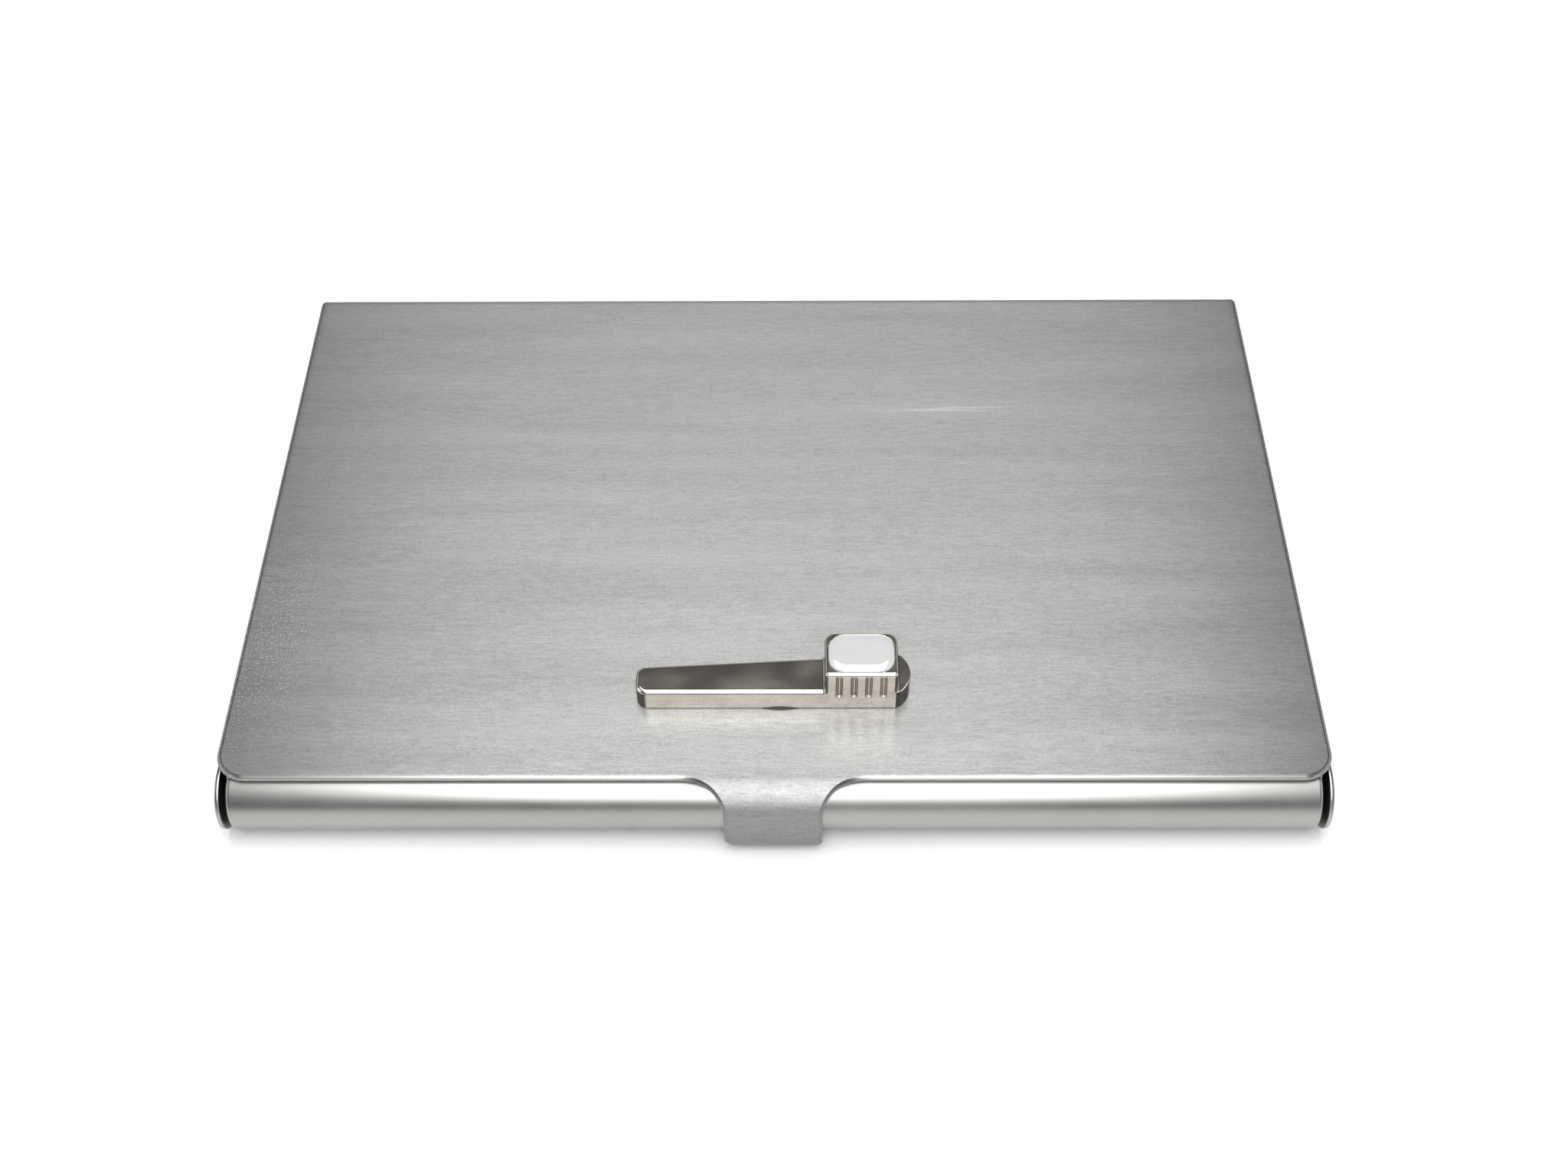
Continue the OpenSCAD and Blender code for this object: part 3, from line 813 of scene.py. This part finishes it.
def inlay_field(x, y, z):
    """The field of the enamel, flat in the middle and falling away to its rim."""
    plan = inlay_plan(x, y)
    dome = z - enamel_high[2] + 0.14 * np.maximum(1 + plan / 0.8, 0) ** 2
    return np.maximum(meet(plan, dome, 0.12), BRUSH_TOP - INLAY_DEPTH - z)


def make_brush():
    """The casting and its enamel."""
    verts, faces, normals = skin(brush_field, brush_low, brush_high, 0.08)
    plate = polished_plating()
    add_piece("brush", verts, faces, plate, "lid", ["brush_casting"], normals)
    verts, faces, normals = skin(inlay_field, enamel_low, enamel_high, 0.1)
    enamel = white_enamel()
    add_piece("brush_inlay", verts, faces, enamel, "lid", ["bristle_enamel"], normals)


def make_adhesive():
    """The film under the toothbrush, with the bead that shows in front."""
    front, back = BRUSH_FRONT + 0.45, BRUSH_FRONT + 2.45
    bead_half, bead_r, bead_x = 1.6, 7.0, 0.6
    steps = [bead_half * k / 8 for k in range(-8, 9)]
    outline = [(bead_x + u, pad_low[1] + u * u / (2 * bead_r), 0) for u in steps]
    outline += [(bead_x + bead_half, front, 0.1), (9, front, 0.6), (9, back, 0.6)]
    outline += [(-9, back, 0.6), (-9, front, 0.6), (bead_x - bead_half, front, 0.1)]
    top = pad_high[2]
    verts, faces = folded_sheet(outline, [], [], ([], []), top - TOP, 0.04, lambda u, v, d: (u, v, top - d))
    add_piece("adhesive_film", verts, faces, dark_adhesive(), "lid", ["adhesive_pad"])


# ---------------------------------------------------------------------------------------------
# The hinge rivets and the spring
# ---------------------------------------------------------------------------------------------


def dome(base_r, low, high, steps=8):
    """Profile points up a low dome, from its rim to its top on the axis."""
    rise = high - low
    ball = (base_r ** 2 + rise ** 2) / (2 * rise)
    reach = math.asin(base_r / ball)
    turn = [reach * (1 - k / steps) for k in range(steps + 1)]
    return [(ball * math.sin(a), high - ball * (1 - math.cos(a))) for a in turn]


def make_hinge_rivets():
    """The two rivets that the lid turns on, domed on the outside."""
    steel = rolled_steel("rivet_steel", (0.62, 0.62, 0.61), 0.28)
    inner, seat, outer = pin_low[0], HALF_W, pin_high[0]
    profile = [(0, inner), (1.15, inner), (1.22, inner + 0.03), (1.25, inner + 0.1), (1.25, inner + 0.28)]
    profile += [(1.23, inner + 0.3), (0.76, inner + 0.3), (0.75, inner + 0.32)]
    profile += [(0.75, seat - 0.02), (0.76, seat)]
    profile += [(1.36, seat), (1.39, seat + 0.01), (1.4, seat + 0.04)] + dome(1.38, seat + 0.07, outer)
    turned, faces = lathe(profile)
    for side, name in ((-1, "hinge_rivet_left"), (1, "hinge_rivet_right")):
        x, y, z = turned[:, 2] * side, turned[:, 0] + PIVOT[0], turned[:, 1] + PIVOT[1]
        add_piece(name + "_domed", np.stack([x, y, z], axis=1), faces, steel, "base", [name])


def make_spring():
    """The bowed leaf spring on the tray's floor and its two rivets."""
    half, thick, y0, y1 = spring_high[0], 0.25, spring_low[1], spring_high[1]
    stud_y = (y0 + y1) / 2
    flat, crest, bow = 9.0, 27.0, 0.6

    def fold(u, v, depth):
        far = np.abs(u)
        rise = bow * np.clip((far - flat) / (crest - flat), 0, 1) ** 1.5
        tip = thick * np.clip((far - crest) / (half - crest), 0, 1) ** 2
        return u, v, TRAY_T + thick - depth + rise - tip

    outline = [(-half, y0, 1.2), (half, y0, 1.2), (half, y1, 1.2), (-half, y1, 1.2)]
    lines = [u for u in np.arange(-half + 1, half, 1.0) if abs(u) > flat - 1]
    holes = [(STUD_X, stud_y, STUD_HOLE_R), (-STUD_X, stud_y, STUD_HOLE_R)]
    patch = (lines, np.arange(y0 + 0.4, y1, 0.8))
    verts, faces = folded_sheet(outline, holes, [patch], (lines, []), thick, 0.08, fold)
    leaf = rolled_steel("spring_steel", (0.42, 0.42, 0.44), 0.3)
    add_piece("leaf_spring", verts, faces, leaf, "base", ["snap_spring"])

    seat = TRAY_T + thick
    profile = [(0, 0), (0.57, 0), (0.6, 0.03), (0.6, seat), (1.06, seat), (1.09, seat + 0.02)]
    turned, faces = lathe(profile + dome(STUD_R, seat + 0.05, stud_high[2]))
    count = len(turned)
    verts = np.concatenate([turned + (STUD_X, stud_y, 0), turned + (-STUD_X, stud_y, 0)])
    faces = faces + [[i + count for i in f] for f in faces]
    steel = rolled_steel("stud_steel", (0.62, 0.62, 0.61), 0.28)
    add_piece("spring_studs", verts, faces, steel, "base", ["spring_rivets"])


make_lid()
make_tray()
make_brush()
make_adhesive()
make_hinge_rivets()
make_spring()

# ---------------------------------------------------------------------------------------------
# Floor, light and camera
# ---------------------------------------------------------------------------------------------


def make_floor():
    """A wide pale floor just under the case."""
    size = 1.5
    mesh = bpy.data.meshes.new("floor")
    corners = [(-size, -size, 0), (size, -size, 0), (size, size, 0), (-size, size, 0)]
    mesh.from_pydata(corners, [], [(0, 1, 2, 3)])
    p = Paint("pale_floor")
    cloud = p.stretched(p.place, (4, 4, 4), 2)
    p.set(Base_Color=p.mix(cloud, (0.90, 0.90, 0.90, 1), (0.93, 0.93, 0.93, 1)), Roughness=0.9)
    mesh.materials.append(p.material)
    floor = bpy.data.objects.new("floor", mesh)
    floor.location.z = -0.00005
    bpy.context.scene.collection.objects.link(floor)


def softbox(name, place, aim, width, depth, radiance):
    """A soft rectangular light that faces a point. radiance is how bright its face looks."""
    data = bpy.data.lights.new(name, "AREA")
    data.shape = "RECTANGLE"
    data.size = width
    data.size_y = depth
    data.energy = radiance * math.pi * width * depth
    lamp = bpy.data.objects.new(name, data)
    lamp.location = place
    lamp.rotation_euler = (Vector(aim) - Vector(place)).to_track_quat("-Z", "Y").to_euler()
    bpy.context.scene.collection.objects.link(lamp)


def make_world(dark, pale):
    """A dark room with pale walls low down at its sides and back, and none in front."""
    world = bpy.data.worlds.new("studio")
    world.use_nodes = True
    nodes, links = world.node_tree.nodes, world.node_tree.links
    way = nodes.new("ShaderNodeSeparateXYZ")
    links.new(nodes.new("ShaderNodeTexCoord").outputs["Generated"], way.inputs[0])
    low, behind = nodes.new("ShaderNodeMapRange"), nodes.new("ShaderNodeMapRange")
    for node, part, start, end in ((low, 2, 0.60, 0.35), (behind, 1, -0.88, -0.72)):
        links.new(way.outputs[part], node.inputs["Value"])
        node.inputs["From Min"].default_value = start
        node.inputs["From Max"].default_value = end
    both = nodes.new("ShaderNodeMath")
    both.operation = "MULTIPLY"
    strength = nodes.new("ShaderNodeMath")
    strength.operation = "MULTIPLY_ADD"
    links.new(low.outputs["Result"], both.inputs[0])
    links.new(behind.outputs["Result"], both.inputs[1])
    links.new(both.outputs[0], strength.inputs[0])
    strength.inputs[1].default_value = pale - dark
    strength.inputs[2].default_value = dark
    links.new(strength.outputs[0], nodes["Background"].inputs["Strength"])
    nodes["Background"].inputs["Color"].default_value = (1, 1, 1, 1)
    bpy.context.scene.world = world


def make_camera(target, distance, elevation, azimuth, roll, lens):
    """A camera that looks at target from a distance. The angles are in degrees."""
    el, az, lean = (math.radians(a) for a in (elevation, azimuth, roll))
    back = Vector((math.sin(az) * math.cos(el), -math.cos(az) * math.cos(el), math.sin(el)))
    right = (-back).cross(Vector((0, 0, 1))).normalized()
    up = back.cross(right)
    axes = Matrix((right, up, back)).transposed() @ Matrix.Rotation(-lean, 3, "Z")
    data = bpy.data.cameras.new("camera")
    data.lens = lens
    data.clip_start = 0.01
    camera = bpy.data.objects.new("camera", data)
    camera.matrix_world = Matrix.Translation(Vector(target) + back * distance) @ axes.to_4x4()
    bpy.context.scene.collection.objects.link(camera)
    bpy.context.scene.camera = camera


make_floor()
softbox("overhead", (-0.001, -0.30, 0.60), (-0.001, -0.30, 0), width=0.402, depth=1.32, radiance=4.2)
for side, name in ((-1, "left"), (1, "right")):
    softbox(name, (0.80 * side, -0.10, 0.45), (0, -0.10, 0), width=0.60, depth=0.80, radiance=1.1)
make_world(dark=0.08, pale=0.50)
target = (0.00085, -0.00777, 0.007)
make_camera(target, distance=0.17097, elevation=50.83, azimuth=0.86, roll=0.76, lens=43.5)
bpy.context.scene.view_settings.view_transform = "Standard"
